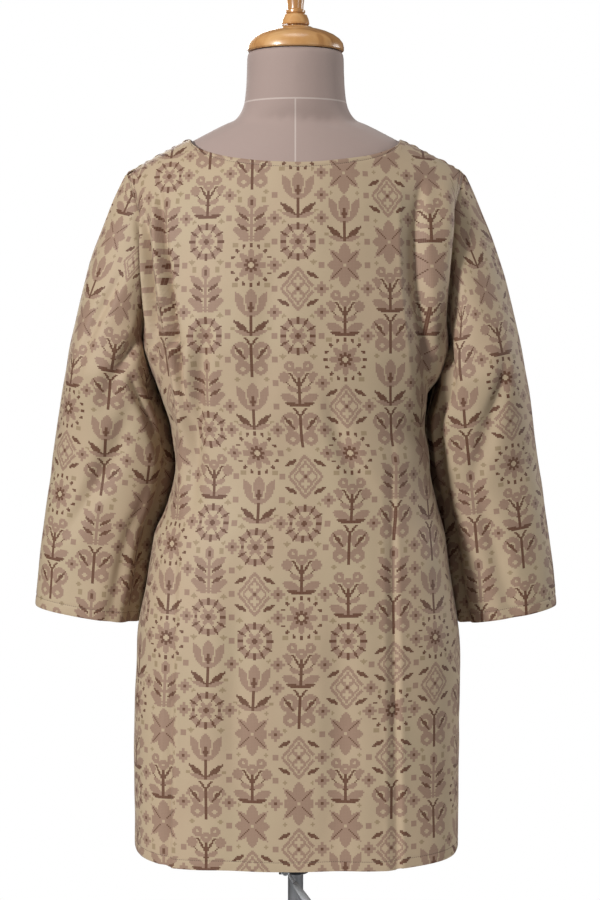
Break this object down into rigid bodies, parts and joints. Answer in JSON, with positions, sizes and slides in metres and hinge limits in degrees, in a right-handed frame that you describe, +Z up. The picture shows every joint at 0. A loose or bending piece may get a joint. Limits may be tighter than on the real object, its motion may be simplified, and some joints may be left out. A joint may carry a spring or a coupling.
{
  "type": "tunic on a dress form",
  "caption": "Long tunic with wide three-quarter sleeves and a wide round neck, worn by a limbless dress form with a turned wooden cap on a height-adjustable steel stand.",
  "frame": {"origin": "centre of the base's underside, on the floor under the pole", "axes": "+Z up along the pole, -Y out of the garment's front, +X to the wearer's left"},
  "size_m": [0.6474, 0.38, 1.6122],
  "materials": {
    "tunic_cloth": "soft cotton sateen with a small two-colour print",
    "form_cover": "matt stretch cloth",
    "turned_wood": "satin varnish",
    "steel": "satin",
    "dark_steel": "dark satin paint"
  },
  "bodies": {
    "stand": {"base": "steel", "tube": "steel", "collar": "dark_steel"},
    "lever": {"lever": "steel"},
    "rod": {"rod": "steel"},
    "form": {"form_torso": "form_cover", "form_neck": "form_cover", "neck_cap": "turned_wood", "finial": "turned_wood", "back_panel": "tunic_cloth", "front_panel": "tunic_cloth", "sleeve_left": "tunic_cloth", "sleeve_right": "tunic_cloth"}
  },
  "joints": [
    {"name": "rod_slide", "type": "slide", "parent": "stand", "child": "rod", "axis": [0, 0, 1], "range_m": [-0.05, 0.2]},
    {"name": "form_turn", "type": "hinge", "parent": "rod", "child": "form", "pos_m": [0, 0, 0.66], "axis": [0, 0, 1], "continuous": true},
    {"name": "lever_turn", "type": "hinge", "parent": "stand", "child": "lever", "pos_m": [0.0125, 0.021, 0.512], "axis": [0, 1, 0], "range_deg": [0, 90]}
  ]
}
